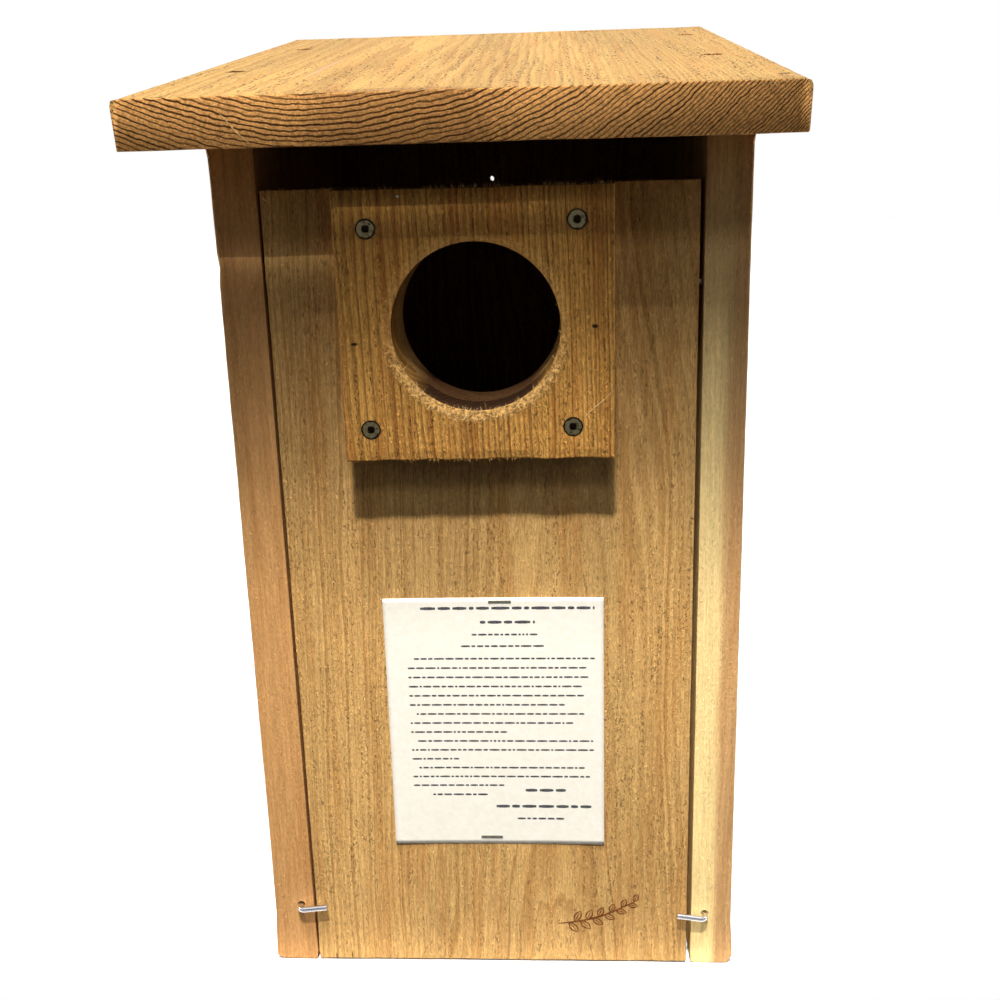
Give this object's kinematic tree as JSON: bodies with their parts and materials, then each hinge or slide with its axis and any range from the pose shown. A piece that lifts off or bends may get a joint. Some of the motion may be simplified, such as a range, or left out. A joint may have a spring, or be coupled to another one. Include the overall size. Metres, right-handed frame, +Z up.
{
  "type": "birdhouse",
  "caption": "Cedar nest box with a sloping roof, a bored entrance block, a front that swings out on two nails, and wire latches at its foot.",
  "frame": {"origin": "middle of the box's underside, on the floor board, half way between the side panels' front edges and the back panel's rear face", "axes": "+X to the right seen from the front, +Y from the front to the rear face, +Z up"},
  "size_m": [0.284, 0.3542, 0.5055],
  "materials": {
    "cedar_front": "rough-sawn, unfinished",
    "cedar_block": "rough-sawn, unfinished",
    "cedar_roof": "rough-sawn, unfinished",
    "cedar_left": "rough-sawn, unfinished",
    "cedar_right": "rough-sawn, unfinished",
    "cedar_back": "rough-sawn, unfinished",
    "stainless": "plain stainless, as rolled",
    "zinc_wire": "bright zinc plate",
    "staple_wire": "bright galvanised",
    "card": "matt"
  },
  "bodies": {
    "box": {"back_panel": "cedar_back", "left_side_panel": "cedar_left", "right_side_panel": "cedar_right", "floor_panel": "cedar_back", "roof_panel": "cedar_roof", "roof_side_screws": "stainless", "roof_back_screws": "stainless", "left_back_screws": "stainless", "right_back_screws": "stainless", "left_floor_screws": "stainless", "right_floor_screws": "stainless", "rear_floor_screws": "stainless", "left_pivot_nail": "stainless", "right_pivot_nail": "stainless"},
    "front": {"front_panel": "cedar_front", "entrance_block": "cedar_block", "block_screws": "stainless", "paper_card": "card", "top_staple": "staple_wire", "bottom_staple": "staple_wire"},
    "left_hook": {"left_latch_hook": "zinc_wire"},
    "right_hook": {"right_latch_hook": "zinc_wire"}
  },
  "joints": [
    {"name": "front_swing", "type": "hinge", "parent": "box", "child": "front", "pos_m": [0, -0.142, 0.3661], "axis": [-1, 0, 0], "range_deg": [0, 115]},
    {"name": "left_hook_turn", "type": "hinge", "parent": "box", "child": "left_hook", "pos_m": [-0.1085, -0.1526, 0.0349], "axis": [0, 1, 0], "range_deg": [-180, 180]},
    {"name": "right_hook_turn", "type": "hinge", "parent": "box", "child": "right_hook", "pos_m": [0.1089, -0.1526, 0.0311], "axis": [0, 1, 0], "range_deg": [-180, 180]}
  ]
}
